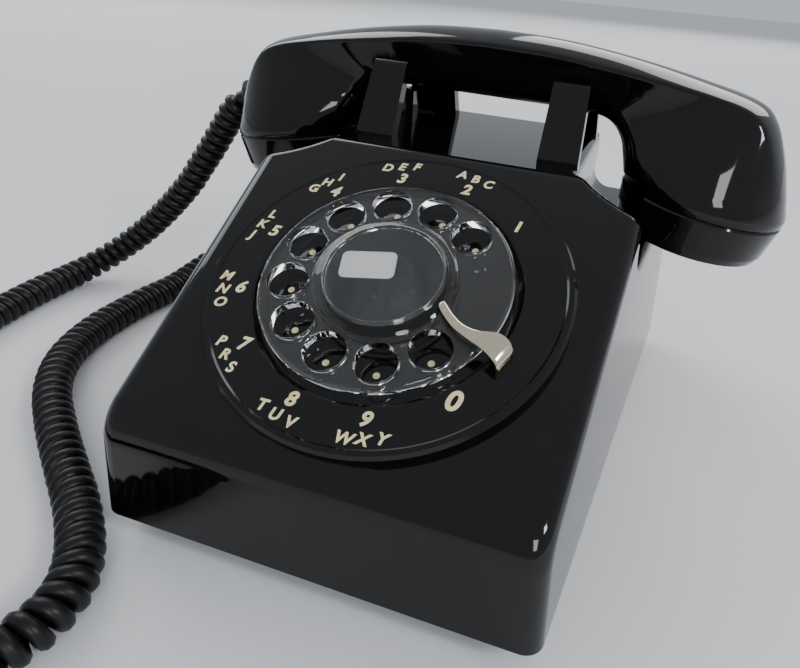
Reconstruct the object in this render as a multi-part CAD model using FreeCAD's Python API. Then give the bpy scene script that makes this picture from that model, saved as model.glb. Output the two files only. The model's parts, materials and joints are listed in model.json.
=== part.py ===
import FreeCAD, Part
import math
import os

# Desk telephone with a rotary dial. Millimetres, +Z up, +X right when facing the dial, +Y to the rear.
# Origin: on the table, under the middle of the housing.

V = FreeCAD.Vector
PARTS = "parts"

# Housing
DEPTH_HALF = 109.0          # front and rear lower edges at y = -/+ this
HALF_FRONT = 68.5           # half width of the lower edge at the front
HALF_REAR = 90.5            # half width of the lower edge at the rear
DRAFT = 0.10                # side walls lean in by this per mm of height
RIM_Z = 9.8                 # lower edge of the housing above the table
WALL = 2.8
SLOPE_DEG = 28.5            # dial face from the horizontal
FOLD_R = 15.0
TOP_Z = 105.5               # flat top under the handset
TOP_R = 7.0
EDGE_R = 6.0
REAR_Y_TOP = 104.5
REAR_R = 9.0
FRONT_LEAN = 0.04           # the front face leans back by this per mm of height
BEYOND = 130.0              # reach of cutting tools past the housing
TOWER_HALF = 44.5           # half width of the raised block between the handset's cups
DECK_Z = 79.0               # decks beside that block, under the cups
DECK_R = 9.0
CUP_CLEAR_R = 61.0          # arc of the shoulder round each cup
SHOULDER_X = 89.5

# Dial
DIAL_Y = -53.2
DIAL_Z = 78.8
DIAL_PROUD = 3.5            # number ring above the housing face
PLATE_R = 57.0
WHEEL_R = 39.0
WHEEL_T = 3.1
WHEEL_TOP = 3.5
WELL_Z = -3.0
WELL_R = 41.0
FINGER_HOLES = 10
FINGER_HOLE_R = 6.3
FINGER_PCR = 29.8
FIRST_HOLE_DEG = 46.5
HOLE_STEP_DEG = 30.0
STOP_DEG = -24.0
SHAFT_R = 3.0
HOUSING_DIAL_R = 48.0       # opening in the housing for the dial
RUN_FIT = 0.05              # radial clearance of shafts in their bushes

# Cradle and hook switch
EAR_IN = 28.6               # front ears, from the middle
EAR_OUT = 44.0
EAR_OUT_TOP = 41.9
REAR_EAR_IN = 22.0
PRONG_TOP_Z = 131.9
EAR_RADII = [0.0, 0.0, 3.0, 0.7, 1.0, 0.0, 0.0]
SHOULDER_R = 3.6
PLUNGER_X = 36.0
PLUNGER_HALF = 4.5
PLUNGER_GAP = 0.35
PLUNGER_TOP = 119.6
PLUNGER_TRAVEL = 6.0
LEVER_Z = 84.0
LEVER_PIVOT_Y = 12.0
LEVER_ARM_X = 24.0
LEVER_PIN_R = 1.5
PILE_Z = 58.0

# Base
BASE_Z = 10.4
BASE_T = 1.5
FLANGE_H = 7.0
FOOT_XY = [(55.0, -93.0), (-55.0, -93.0), (70.0, 90.0), (-70.0, 90.0)]
FOOT_R = 9.8
FOOT_PIN_R = 2.5
SCREW_XY = [(0.0, -90.0), (0.0, 96.0)]
SCREW_R = 1.75
SCREW_HEAD_R = 4.0
SCREW_L = 8.0
GLAND_NECK_R = 4.0
GLAND_COLLAR_R = 5.6
GLAND_COLLAR_L = 4.0
BASE_GLAND_IN = (-80.0, 74.0, 16.0)
HAND_GLAND_IN = (-113.6, 52.0, 110.6)
HAND_GLAND_OUT = (-122.6, 52.6, 104.0)
INLET_X = 40.0
INLET_Z = 22.0
INLET_R = 4.5

# Dial works, in the dial's own frame
HUB_R = 9.0
COLLAR_R = 20.6
CARD_R = 17.6
CARD_Z = 4.6
STOP_T = 0.9
STOP_LEG_R = 45.6           # outer face of the stop's leg, from the middle of the dial
STOP_HALF = 3.4
STOP_FOOT_R = 40.6
STOP_SCREW_R = 42.6
STOP_HOOK = [               # the hook over the wheel, seen from the front of the dial
    (20.6, -6.2), (23.6, -9.0), (27.0, -11.6), (30.0, -12.8), (33.0, -13.1), (35.7, -12.6), (38.7, -12.2),
    (41.2, -13.0), (43.0, -15.4), (40.3, -21.7), (37.0, -19.0), (34.6, -17.6), (31.7, -16.4), (28.7, -14.9),
    (25.7, -13.0), (22.8, -10.3), (20.5, -7.7),
]
FRAME_T = 2.4
SMALL_SHAFT_R = 1.2
BACK_Z = -31.0
BACK_R = 38.0
LEG_R = 34.0
LEG_DEGS = (90.0, 330.0, 20.0)
MAIN_GEAR_Z = -13.0
WHEEL2_Z = -20.0
SPRING_R = 13.0
SPRING_T = 0.5
GOV_Z = -27.0
PINION_DEG = 195.0
GOVERNOR_DEG = 285.0
BRACKET_X = 52.0
BRACKET_Y = -26.0
BRACKET_TOP = 66.0

# Ringer and network
RING_X = 29.0
RING_Y = -62.0
GONG_Z = 30.0
GONG_R = (24.0, 23.0)
RING_COIL_Z = 18.9
LOUD_X = 56.0
LOUD_Y = -40.0
LOUD_Z = 20.0
LOUD_R = 12.5
LOUD_PIN_R = 1.5
NET_X0 = 23.0
NET_Y0 = 26.0
NET_L = 50.0
NET_W = 57.0
NET_H = 24.0

# Dial gear train, module in mm and teeth
GEAR_MODULE = 0.8
MAIN_TEETH = 60
PINION_TEETH = 15
WHEEL2_TEETH = 40
GOVERNOR_TEETH = 20
GEAR_BACKLASH = 0.25
PINION_R = GEAR_MODULE * (MAIN_TEETH + PINION_TEETH) / 2
GOVERNOR_R = GEAR_MODULE * (WHEEL2_TEETH + GOVERNOR_TEETH) / 2
PINION_XY = (PINION_R * math.cos(math.radians(PINION_DEG)), PINION_R * math.sin(math.radians(PINION_DEG)))
GOVERNOR_XY = (
    PINION_XY[0] + GOVERNOR_R * math.cos(math.radians(GOVERNOR_DEG)),
    PINION_XY[1] + GOVERNOR_R * math.sin(math.radians(GOVERNOR_DEG)),
)

# Handset
HAND_Y = 52.0
HAND_YAW_DEG = -4.2         # the handset lies a little askew on the cradle
HAND_DX = 1.2
CUP_X = 89.2
CUP_Z = 94.7                # middle of the seam between cup and cap
CUP_R = 31.0
CUP_TILT_DEG = 8.0          # cap faces turn inwards by this
CAP_H = 16.0
CAP_R_LOW = 29.2
CROWN_Z = 145.1
ARCH_R = 350.0
HANDLE_W = 16.2             # half width at the top ridges
HANDLE_LOW = 10.0           # half width near its underside
HANDLE_BOTTOM_Z = 120.5
CROWN_H = 4.5
BOTTOM_R = 7.0

# Cord
CORD_R = 7.0
CORD_FLOOR_Z = 7.2
CORD_ROUTE = [
    (-121.0, 61.6, 104.0),
    (-128.4, 61.9, 98.9),
    (-136.4, 62.0, 88.3),
    (-145.4, 61.8, 75.6),
    (-152.7, 61.0, 66.0),
    (-159.5, 60.0, 56.1),
    (-173.7, 57.5, 40.5),
    (-186.9, 53.5, 27.2),
    (-197.5, 46.0, 17.6),
    (-205.5, 37.0, 11.0),
    (-210.6, 24.0, CORD_FLOOR_Z),
    (-210.8, 3.2, CORD_FLOOR_Z),
    (-208.4, -21.3, CORD_FLOOR_Z),
    (-204.8, -39.7, CORD_FLOOR_Z),
    (-204.0, -68.0, CORD_FLOOR_Z),
    (-199.0, -98.0, CORD_FLOOR_Z),
    (-186.0, -128.0, CORD_FLOOR_Z),
    (-165.0, -154.0, CORD_FLOOR_Z),
    (-136.0, -173.0, CORD_FLOOR_Z),
    (-105.0, -181.0, CORD_FLOOR_Z),
    (-79.0, -177.0, CORD_FLOOR_Z),
    (-62.0, -162.0, CORD_FLOOR_Z),
    (-54.2, -143.0, CORD_FLOOR_Z),
    (-60.0, -126.5, CORD_FLOOR_Z),
    (-78.0, -109.6, CORD_FLOOR_Z),
    (-95.5, -97.0, CORD_FLOOR_Z),
    (-109.2, -86.9, CORD_FLOOR_Z),
    (-122.2, -76.6, CORD_FLOOR_Z),
    (-134.0, -66.5, CORD_FLOOR_Z),
    (-144.5, -54.0, CORD_FLOOR_Z),
    (-152.5, -39.5, CORD_FLOOR_Z),
    (-157.3, -22.0, CORD_FLOOR_Z),
    (-158.6, -4.0, CORD_FLOOR_Z),
    (-158.0, 14.4, CORD_FLOOR_Z),
    (-155.6, 31.0, CORD_FLOOR_Z),
    (-155.2, 46.9, CORD_FLOOR_Z + 1.4),
    (-152.5, 60.5, CORD_FLOOR_Z + 5.0),
    (-145.0, 72.5, CORD_FLOOR_Z + 8.0),
    (-132.0, 79.0, CORD_FLOOR_Z + 9.0),
    (-117.0, 79.0, CORD_FLOOR_Z + 8.8),
    (-104.0, 75.5, CORD_FLOOR_Z + 8.8),
]
BASE_EXIT = (-92.6, 74.0, 16.0)


def rad(deg):
    return math.radians(deg)


def box(x0, x1, y0, y1, z0, z1):
    return Part.makeBox(x1 - x0, y1 - y0, z1 - z0, V(x0, y0, z0))


def cyl(r, z0, z1, x=0.0, y=0.0):
    return Part.makeCylinder(r, z1 - z0, V(x, y, z0))


def ring(r_out, r_in, z0, z1, x=0.0, y=0.0):
    return cyl(r_out, z0, z1, x, y).cut(cyl(r_in, z0 - 1.0, z1 + 1.0, x, y))


def rod(p, q, r):
    axis = V(*q).sub(V(*p))
    return Part.makeCylinder(r, axis.Length, V(*p), axis)


def prism(points, z0, z1):
    wire = Part.makePolygon([V(x, y, z0) for x, y in points] + [V(points[0][0], points[0][1], z0)])
    return Part.Face(wire).extrude(V(0, 0, z1 - z0))


def turned(points):
    """A closed RZ outline turned about Z."""
    wire = Part.makePolygon([V(r, 0, z) for r, z in points] + [V(points[0][0], 0, points[0][1])])
    return Part.Face(wire).revolve(V(0, 0, 0), V(0, 0, 1), 360)


def in_dial(shape):
    """From the dial's own frame (its face up, at the origin) to its place on the sloping face."""
    placed = shape.copy()
    placed.rotate(V(0, 0, 0), V(1, 0, 0), SLOPE_DEG)
    placed.translate(V(0, DIAL_Y, DIAL_Z))
    return placed


def save(name, *shapes):
    solids = [s for shape in shapes for s in shape.Solids]
    out = solids[0] if len(solids) == 1 else Part.makeCompound(solids)
    if not out.isValid():
        raise ValueError(name + " is not valid")
    out.exportStep(os.path.join(PARTS, name + ".step"))
    print(f"{name:24s} solids {len(solids):2d}  volume {out.Volume:10.1f}")


# ---------------------------------------------------------------- housing

def slope_z(y, proud=DIAL_PROUD):
    """Height of the dial face at depth y."""
    foot_y = DIAL_Y + proud * math.sin(rad(SLOPE_DEG))
    foot_z = DIAL_Z - proud * math.cos(rad(SLOPE_DEG))
    return foot_z + (y - foot_y) * math.tan(rad(SLOPE_DEG))


def rounded(points, radii):
    """Wire in the YZ plane at x = 0 whose corners are rounded by tangent arcs."""
    edges = []
    count = len(points)
    starts = []
    ends = []
    mids = []
    for i in range(count):
        p = V(0, *points[i])
        a = V(0, *points[i - 1]).sub(p).normalize()
        b = V(0, *points[(i + 1) % count]).sub(p).normalize()
        half = a.getAngle(b) / 2
        cut = radii[i] / math.tan(half)
        bis = (a + b).normalize()
        starts.append(p + a * cut)
        ends.append(p + b * cut)
        mids.append(p + bis * (radii[i] / math.sin(half) - radii[i]))
    for i in range(count):
        if radii[i] > 0:
            edges.append(Part.Arc(starts[i], mids[i], ends[i]).toShape())
        edges.append(Part.LineSegment(ends[i], starts[(i + 1) % count]).toShape())
    return Part.Wire(edges)


def housing_block(inset):
    """The housing's outer form, moved in by inset, down to the rim, with its long edges rounded."""
    front = -DEPTH_HALF + inset
    proud = DIAL_PROUD + inset
    top = TOP_Z - inset
    slope = math.tan(rad(SLOPE_DEG))
    fold_z = (slope_z(front - FRONT_LEAN * RIM_Z, proud)) / (1 - FRONT_LEAN * slope)
    fold_y = front + FRONT_LEAN * (fold_z - RIM_Z)
    points = [
        (front, RIM_Z),
        (fold_y, fold_z),
        ((top - slope_z(0.0, proud)) / slope, top),
        (REAR_Y_TOP - inset, top),
        (DEPTH_HALF - inset, RIM_Z),
    ]
    radii = [0.0, FOLD_R - inset, TOP_R, REAR_R - inset, 0.0]
    profile = Part.Face(rounded(points, radii))
    profile.translate(V(-BEYOND, 0, 0))
    block = profile.extrude(V(2 * BEYOND, 0, 0)).common(side_walls(inset))
    edges = [e for e in block.Edges if on_side_wall(e.CenterOfMass, inset)]
    return block.makeFillet(EDGE_R - inset, edges)


def on_side_wall(p, inset):
    return p.z > RIM_Z + 1 and abs(abs(p.x) - half_width(p.y, p.z, inset)) < 0.5


def half_width(y, z, inset=0.0):
    """Half width of the housing at depth y and height z."""
    share = (y + DEPTH_HALF) / (2 * DEPTH_HALF)
    return HALF_FRONT + (HALF_REAR - HALF_FRONT) * share - DRAFT * (z - RIM_Z) - inset


def side_walls(inset):
    """A wedge between the two side walls."""
    rings = []
    for z in (RIM_Z, 140.0):
        y0 = -DEPTH_HALF - 5
        y1 = DEPTH_HALF + 5
        a = half_width(y0, z, inset)
        b = half_width(y1, z, inset)
        rings.append([V(-a, y0, z), V(a, y0, z), V(b, y1, z), V(-b, y1, z)])
    return flat_sided(rings[0], rings[1])


def flat_sided(low, high):
    """A solid with flat faces between two rings of as many corners."""
    faces = [Part.Face(Part.makePolygon(r + [r[0]])) for r in (low, high)]
    for i in range(len(low)):
        j = (i + 1) % len(low)
        faces.append(Part.Face(Part.makePolygon([low[i], low[j], high[j], high[i], low[i]])))
    return Part.Solid(Part.Shell(faces))


def shoulder_tool(side, grow):
    """What is cut away beside the raised block: a box with a round front, on a rounded deck."""
    x = TOWER_HALF - grow
    z = DECK_Z - grow
    round_front = cyl(CUP_CLEAR_R + grow, z, BEYOND, SHOULDER_X, HAND_Y)
    tool = round_front.common(box(x, BEYOND, -BEYOND, BEYOND, z, BEYOND))
    tool = tool.fuse(box(x, BEYOND, HAND_Y, BEYOND, z, BEYOND)).removeSplitter()
    edges = [e for e in tool.Edges if abs(e.CenterOfMass.z - z) < 0.1 and e.CenterOfMass.x < BEYOND - 40]
    edges = [e for e in edges if abs(e.CenterOfMass.y) < BEYOND - 1]
    tool = tool.makeFillet(DECK_R + grow, edges)
    return tool if side > 0 else tool.mirror(V(0, 0, 0), V(1, 0, 0))


def on_shoulder(p):
    """On an upright wall cut by a shoulder tool, above its rounded foot."""
    tower = abs(abs(p.x) - TOWER_HALF) < 0.05 and p.y > 5
    front = abs(math.hypot(abs(p.x) - SHOULDER_X, p.y - HAND_Y) - CUP_CLEAR_R) < 0.05
    return (tower or front) and p.z > DECK_Z + DECK_R + 0.5


def middle(edge):
    return edge.valueAt((edge.FirstParameter + edge.LastParameter) / 2)


def top_block(inset):
    block = housing_block(inset)
    for side in (1, -1):
        block = block.cut(shoulder_tool(side, inset))
    if inset > 0:
        return block
    return block.makeFillet(SHOULDER_R, [e for e in block.Edges if on_shoulder(middle(e))])


def prong(outline, x_in, x_out, x_out_top):
    """One upright ear of the cradle; its outer side leans in towards the top."""
    low = TOP_Z - 4
    high = PRONG_TOP_Z + 1
    profile = Part.Face(rounded(outline, EAR_RADII))
    profile.translate(V(x_in, 0, 0))
    ear = profile.extrude(V(x_out - x_in, 0, 0))
    lean = prism_xz([(x_in - 1, low), (x_out, low), (x_out_top, high), (x_in - 1, high)], 0.0, BEYOND)
    return ear.common(lean)


def prism_xz(points, y0, y1):
    wire = Part.makePolygon([V(x, y0, z) for x, z in points] + [V(points[0][0], y0, points[0][1])])
    return Part.Face(wire).extrude(V(0, y1 - y0, 0))


def both_sides(shape):
    return [shape, shape.mirror(V(0, 0, 0), V(1, 0, 0))]


def front_ear_outline():
    """Side view of a front ear: it leans back and rolls over at the top."""
    return [
        (17.8, TOP_Z - 4),
        (17.8, TOP_Z + 0.8),
        (31.0, PRONG_TOP_Z + 0.7),
        (35.2, PRONG_TOP_Z - 1.4),
        (33.6, 127.4),
        (23.6, TOP_Z + 0.8),
        (23.6, TOP_Z - 4),
    ]


def rear_ear_outline():
    return [(2 * HAND_Y - y, z) for y, z in front_ear_outline()]


def plunger_xy():
    return [(PLUNGER_X, HAND_Y), (-PLUNGER_X, HAND_Y)]


def housing_shell():
    shell = top_block(0.0)
    ears = both_sides(prong(front_ear_outline(), EAR_IN, EAR_OUT, EAR_OUT_TOP))
    ears += both_sides(prong(rear_ear_outline(), REAR_EAR_IN, EAR_OUT, EAR_OUT_TOP))
    shell = shell.fuse(ears).removeSplitter()
    inner = top_block(WALL)
    skirt = inner.copy()
    skirt.translate(V(0, 0, -WALL))
    shell = shell.cut(inner.common(box(-BEYOND, BEYOND, -BEYOND, BEYOND, RIM_Z, BEYOND)))
    shell = shell.cut(skirt.common(box(-BEYOND, BEYOND, -BEYOND, BEYOND, 0, RIM_Z + WALL)))
    shell = shell.cut(in_dial(cyl(HOUSING_DIAL_R, -12.0, 12.0)))
    for x, y in plunger_xy():
        half = PLUNGER_HALF + PLUNGER_GAP
        shell = shell.cut(box(x - half, x + half, y - half, y + half, TOP_Z - 10, TOP_Z + 2))
    exit_hole = rod((BASE_EXIT[0] + 20, BASE_EXIT[1], BASE_EXIT[2]), BASE_EXIT, GLAND_NECK_R)
    shell = shell.cut(exit_hole)
    inlet = rod((INLET_X, DEPTH_HALF - 15, INLET_Z), (INLET_X, DEPTH_HALF + 5, INLET_Z), INLET_R)
    return shell.cut(inlet)


def base_outline(inset):
    y0 = -DEPTH_HALF + inset
    y1 = DEPTH_HALF - inset
    a = half_width(y0, BASE_Z, inset)
    b = half_width(y1, BASE_Z, inset)
    return [(-a, y0), (a, y0), (b, y1), (-b, y1)]


def base_plate():
    """Pressed steel tray with a low flange inside the housing."""
    gap = WALL + 1.6
    tray = prism(base_outline(gap), BASE_Z, BASE_Z + FLANGE_H)
    tray = tray.cut(prism(base_outline(gap + BASE_T), BASE_Z + BASE_T, BASE_Z + FLANGE_H + 1))
    for x, y in FOOT_XY:
        tray = tray.cut(cyl(FOOT_PIN_R, 0, 20, x, y))
    for x, y in SCREW_XY:
        tray = tray.cut(cyl(SCREW_R + 0.2, 0, 20, x, y))
    gland_slot = box(BASE_EXIT[0], BASE_EXIT[0] + 20, BASE_EXIT[1] - 9, BASE_EXIT[1] + 9, BASE_Z + BASE_T, 40)
    wheel_slot = box(LOUD_X - 16, LOUD_X + 16, LOUD_Y - 3, LOUD_Y + 3, 0, BASE_Z + 5)
    return tray.cut(gland_slot).cut(wheel_slot)


def feet():
    """Four rubber feet, each with a pin through the tray."""
    out = []
    for x, y in FOOT_XY:
        foot = Part.makeCone(FOOT_R - 1.0, FOOT_R, BASE_Z, V(x, y, 0))
        out.append(foot.fuse(cyl(FOOT_PIN_R - 0.05, BASE_Z - 1, BASE_Z + BASE_T + 2, x, y)))
    return out


def housing_screws():
    """Two captive screws from below into the housing's bosses."""
    out = []
    for x, y in SCREW_XY:
        head = cyl(SCREW_HEAD_R, BASE_Z - 2.0, BASE_Z, x, y)
        head = head.cut(box(x - SCREW_HEAD_R, x + SCREW_HEAD_R, y - 0.5, y + 0.5, BASE_Z - 3, BASE_Z - 1.2))
        out.append(head.fuse(cyl(SCREW_R, BASE_Z - 1, BASE_Z + SCREW_L, x, y)))
    return out


def screw_bosses():
    """Tapped posts that the two captive screws hold."""
    out = []
    for x, y in SCREW_XY:
        out.append(ring(SCREW_R + 3.0, SCREW_R + 0.1, BASE_Z + BASE_T, BASE_Z + SCREW_L + 6, x, y))
    return out


# ---------------------------------------------------------------- hook switch

def plunger(x, y):
    """Button that the handset presses down, with a stem to the lever and a collar under the housing."""
    low = TOP_Z - WALL
    h = PLUNGER_HALF
    button = box(x - h, x + h, y - h, y + h, low - PLUNGER_TRAVEL - 6, PLUNGER_TOP)
    top = [e for e in button.Edges if e.BoundBox.ZMin > PLUNGER_TOP - 0.1]
    button = button.makeFillet(1.2, top)
    r = h + 0.9
    top_z = low - PLUNGER_TRAVEL - 0.3
    collar = box(x - r, x + r, y - r, y + r, top_z - 2.0, top_z)
    stem = cyl(2.0, LEVER_Z + 1.4, low - PLUNGER_TRAVEL - 3, x, y)
    return button.fuse([collar, stem]).removeSplitter()


def hook_lever():
    """Bail under both plungers, turning on a pin near the front of the block."""
    arm_x = PLUNGER_X
    bar = box(-arm_x - 4, arm_x + 4, HAND_Y - 4, HAND_Y + 4, LEVER_Z - 1.0, LEVER_Z + 1.0)
    out = bar
    for side in (1, -1):
        x = side * LEVER_ARM_X
        arm = box(x - 1.5, x + 1.5, LEVER_PIVOT_Y - 5, HAND_Y - 3, LEVER_Z - 1.0, LEVER_Z + 1.0)
        eye = rod((x - 1.5, LEVER_PIVOT_Y, LEVER_Z), (x + 1.5, LEVER_PIVOT_Y, LEVER_Z), 4.0)
        out = out.fuse(arm).fuse(eye)
    bore = rod((-40, LEVER_PIVOT_Y, LEVER_Z), (40, LEVER_PIVOT_Y, LEVER_Z), LEVER_PIN_R + RUN_FIT)
    return out.cut(bore).removeSplitter()


def hook_bracket():
    """Pressed bracket from the base plate that carries the lever's pin and the contact pile."""
    z0 = BASE_Z + BASE_T
    y0 = LEVER_PIVOT_Y - 6
    y1 = LEVER_PIVOT_Y + 6
    x = LEVER_ARM_X + 4.5
    foot = box(-x, x, y0, y1, z0, z0 + 1.5)
    cheek_r = box(x - 1.5, x, y0, y1, z0, LEVER_Z + 5)
    cheek_l = box(-x, -x + 1.5, y0, y1, z0, LEVER_Z + 5)
    shelf = box(-x, x, y0, y1, PILE_Z - 1.5, PILE_Z)
    out = foot.fuse([cheek_r, cheek_l, shelf]).removeSplitter()
    return out.cut(rod((-60, LEVER_PIVOT_Y, LEVER_Z), (60, LEVER_PIVOT_Y, LEVER_Z), LEVER_PIN_R))


def hook_pin():
    x = LEVER_ARM_X + 6.0
    return rod((-x, LEVER_PIVOT_Y, LEVER_Z), (x, LEVER_PIVOT_Y, LEVER_Z), LEVER_PIN_R)


def hook_contacts():
    """Pile of spring leaves between insulating blocks, on the bracket's shelf."""
    out = []
    for i in range(4):
        z = PILE_Z + 2.0 + 3.0 * i
        block = box(-7, 7, LEVER_PIVOT_Y - 5, LEVER_PIVOT_Y + 5, z - 2.0, z)
        leaf = box(-5, 5, LEVER_PIVOT_Y - 5, LEVER_PIVOT_Y + 24, z, z + 1.0)
        out += [block, leaf]
    return out


# ---------------------------------------------------------------- dial

def number_plate():
    """Ring for the characters round a sunk well; the wheel's shaft comes through its middle."""
    outline = [
        (HUB_R + 0.6, WELL_Z - 1.6),
        (HUB_R + 0.6, WELL_Z),
        (WELL_R - 1.0, WELL_Z),
        (WELL_R, -0.4),
        (WELL_R + 0.8, 0.0),
        (PLATE_R - 3.0, 0.0),
        (PLATE_R - 2.4, 0.5),
        (PLATE_R - 0.9, 0.5),
        (PLATE_R, -0.5),
        (PLATE_R, -DIAL_PROUD),
        (HOUSING_DIAL_R - 0.6, -DIAL_PROUD),
        (HOUSING_DIAL_R - 0.6, WELL_Z - 1.6),
    ]
    return in_dial(turned(outline).cut(stop_slot(STOP_LEG_R + 0.1)))


def dial_frame():
    """Cast plate behind the number plate, with bushes for the three shafts and legs for its back plate."""
    top = WELL_Z - 1.6
    plate = ring(HOUSING_DIAL_R - 2.0, SHAFT_R + RUN_FIT, top - FRAME_T, top)
    plate = plate.cut([stop_slot(HOUSING_DIAL_R), at_stop(cyl(1.05, top - 3, top - 0.5, STOP_SCREW_R, 0.0))])
    plate = plate.cut(shaft_hole(PINION_XY, top - 3, top + 1)).cut(shaft_hole(GOVERNOR_XY, top - 3, top + 1))
    back = ring(BACK_R, SHAFT_R + RUN_FIT, BACK_Z - 2.0, BACK_Z)
    back = back.cut(shaft_hole(PINION_XY, BACK_Z - 3, BACK_Z + 1))
    back = back.cut(shaft_hole(GOVERNOR_XY, BACK_Z - 3, BACK_Z + 1))
    legs = []
    for deg in LEG_DEGS:
        x, y = polar(LEG_R, deg)
        legs.append(cyl(2.4, BACK_Z - 0.5, top - 2.0, x, y))
    return in_dial(plate.fuse(legs + [back]).removeSplitter())


def polar(r, deg, x=0.0, y=0.0):
    return x + r * math.cos(rad(deg)), y + r * math.sin(rad(deg))


def shaft_hole(xy, z0, z1):
    return cyl(SMALL_SHAFT_R + RUN_FIT, z0, z1, xy[0], xy[1])


def gear(teeth, z0, z1, x, y, first_deg, bore):
    """Involute spur gear with one tooth at first_deg."""
    pitch_r = GEAR_MODULE * teeth / 2
    base_r = pitch_r * math.cos(rad(20.0))
    top_r = pitch_r + 0.9 * GEAR_MODULE
    root_r = pitch_r - 1.25 * GEAR_MODULE
    half = math.pi / (2 * teeth) - GEAR_BACKLASH / (2 * pitch_r) + math.tan(rad(20.0)) - rad(20.0)
    flank = []
    for i in range(5):
        r = max(base_r, root_r) + (top_r - max(base_r, root_r)) * i / 4
        a = math.acos(min(1.0, base_r / r))
        flank.append((r, half - (math.tan(a) - a)))
    points = []
    for k in range(teeth):
        mid = rad(first_deg) + 2 * math.pi * k / teeth
        tooth = [(root_r, half * 1.1)] + flank
        for r, off in tooth:
            points.append((x + r * math.cos(mid - off), y + r * math.sin(mid - off)))
        for r, off in reversed(tooth):
            points.append((x + r * math.cos(mid + off), y + r * math.sin(mid + off)))
    return prism(points, z0, z1).cut(cyl(bore, z0 - 1, z1 + 1, x, y))


def finger_wheel():
    """Clear wheel with a finger hole for each digit and a raised, stepped collar round its middle."""
    low = WHEEL_TOP - WHEEL_T
    outline = [
        (HUB_R, low),
        (WHEEL_R - 1.0, low),
        (WHEEL_R, low + 0.9),
        (WHEEL_R, WHEEL_TOP - 1.2),
        (WHEEL_R - 1.2, WHEEL_TOP),
        (COLLAR_R + 1.6, WHEEL_TOP),
        (COLLAR_R + 0.6, WHEEL_TOP + 0.9),
        (COLLAR_R - 1.4, WHEEL_TOP + 1.3),
        (COLLAR_R - 2.0, CARD_Z + 1.5),
        (CARD_R + 0.5, CARD_Z + 1.5),
        (CARD_R + 0.5, CARD_Z - 1.0),
        (HUB_R, CARD_Z - 1.0),
    ]
    wheel = turned(outline)
    holes = []
    for k in range(FINGER_HOLES):
        x, y = polar(FINGER_PCR, FIRST_HOLE_DEG + HOLE_STEP_DEG * k)
        holes.append(cyl(FINGER_HOLE_R, low - 1, WHEEL_TOP + 2, x, y))
    wheel = wheel.cut(holes)
    return in_dial(wheel)


def number_card():
    return in_dial(cyl(CARD_R, CARD_Z - 1.0, CARD_Z))


def card_retainer():
    """Clear disc snapped over the card."""
    return in_dial(cyl(CARD_R + 0.4, CARD_Z, CARD_Z + 1.2))


def dial_hub():
    """Turned boss that carries the wheel and the card on the main shaft."""
    outline = [
        (0, WELL_Z - 1.6),
        (HUB_R - 0.6, WELL_Z - 1.6),
        (HUB_R - 0.6, WHEEL_TOP - WHEEL_T),
        (HUB_R, WHEEL_TOP - WHEEL_T),
        (HUB_R, CARD_Z - 1.0),
        (0, CARD_Z - 1.0),
    ]
    shaft = cyl(SHAFT_R, BACK_Z - 3.0, WELL_Z)
    return in_dial(turned(outline).fuse(shaft).removeSplitter())


def main_gear():
    return in_dial(gear(MAIN_TEETH, MAIN_GEAR_Z - 2, MAIN_GEAR_Z, 0, 0, PINION_DEG, SHAFT_R))


def drive_spring():
    """Flat spiral mainspring round the main shaft, its outer end anchored to the frame."""
    turns = 6
    steps = 24 * turns
    inner = []
    outer = []
    for i in range(steps + 1):
        r = SHAFT_R + 0.6 + (SPRING_R - SHAFT_R - 0.6) * i / steps
        inner.append(polar(r, 15.0 * i))
        outer.append(polar(r + SPRING_T, 15.0 * i))
    return in_dial(prism(inner + outer[::-1], MAIN_GEAR_Z + 1.0, MAIN_GEAR_Z + 4.6))


def pulse_shaft():
    """Shaft with the pinion driven by the main gear and the larger wheel that drives the governor."""
    x, y = PINION_XY
    shaft = cyl(SMALL_SHAFT_R, BACK_Z - 2.5, WELL_Z - 2.0, x, y)
    first = PINION_DEG + 180 + 180 / PINION_TEETH
    pinion = gear(PINION_TEETH, MAIN_GEAR_Z - 2.6, MAIN_GEAR_Z + 0.6, x, y, first, 0.5)
    return in_dial(shaft.fuse(pinion).removeSplitter())


def pulse_wheel():
    x, y = PINION_XY
    return in_dial(gear(WHEEL2_TEETH, WHEEL2_Z - 1.6, WHEEL2_Z, x, y, GOVERNOR_DEG, SMALL_SHAFT_R))


def pulse_cam():
    """Cam with three lobes, one for each finger hole that the dial passes."""
    x, y = PINION_XY
    z = WHEEL2_Z + 0.8
    cam = cyl(4.0, z, z + 1.6, x, y)
    for deg in (0, 120, 240):
        lx, ly = polar(3.2, PINION_DEG + 90 + deg, x, y)
        cam = cam.fuse(cyl(2.2, z, z + 1.6, lx, ly))
    return in_dial(cam.removeSplitter().cut(cyl(SMALL_SHAFT_R, z - 1, z + 3, x, y)))


def pulse_contacts():
    """Block outside the second wheel, with two leaves that reach over it to the cam."""
    x, y = PINION_XY
    z = WHEEL2_Z + 0.8
    block = box(19.0, 24.0, -3.0, 3.0, BACK_Z, z + 4)
    leaf_a = box(6.4, 20.0, -1.6, -1.1, z, z + 1.6)
    leaf_b = box(6.4, 20.0, 1.1, 1.6, z, z + 1.6)
    pile = block.fuse([leaf_a, leaf_b]).removeSplitter()
    pile.rotate(V(0, 0, 0), V(0, 0, 1), PINION_DEG + 150)
    pile.translate(V(x, y, 0))
    return in_dial(pile)


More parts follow.
